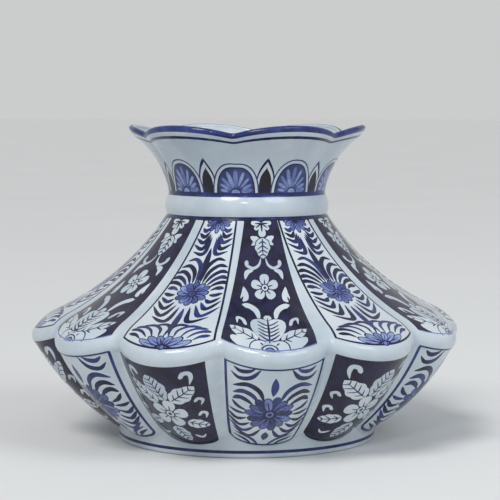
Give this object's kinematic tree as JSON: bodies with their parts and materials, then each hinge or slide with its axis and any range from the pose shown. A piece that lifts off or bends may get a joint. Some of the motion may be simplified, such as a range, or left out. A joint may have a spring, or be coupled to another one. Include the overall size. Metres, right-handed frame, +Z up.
{
  "type": "vase",
  "caption": "Squat glazed ceramic vase with a lobed, wide-shouldered body, a beaded collar, a short flared neck with a waving lip, and panels of blue painted flowers.",
  "frame": {"origin": "on the vase's axis, in the plane that the foot ring stands on", "axes": "+Z up along the vase's axis, -Y through a valley of the body and a valley of the mouth, +X to the right when seen from -Y"},
  "size_m": [0.242, 0.242, 0.18],
  "materials": {
    "painted_glaze": "gloss",
    "plain_glaze": "gloss",
    "foot_glaze": "gloss",
    "base_glaze": "satin"
  },
  "bodies": {
    "root": {"foot_ring": "foot_glaze", "base_disc": "base_glaze", "lower_body": "painted_glaze", "shoulder_roll": "plain_glaze", "upper_body": "painted_glaze", "neck_collar": "plain_glaze", "flared_neck": "painted_glaze", "mouth_lip": "painted_glaze"}
  },
  "joints": []
}
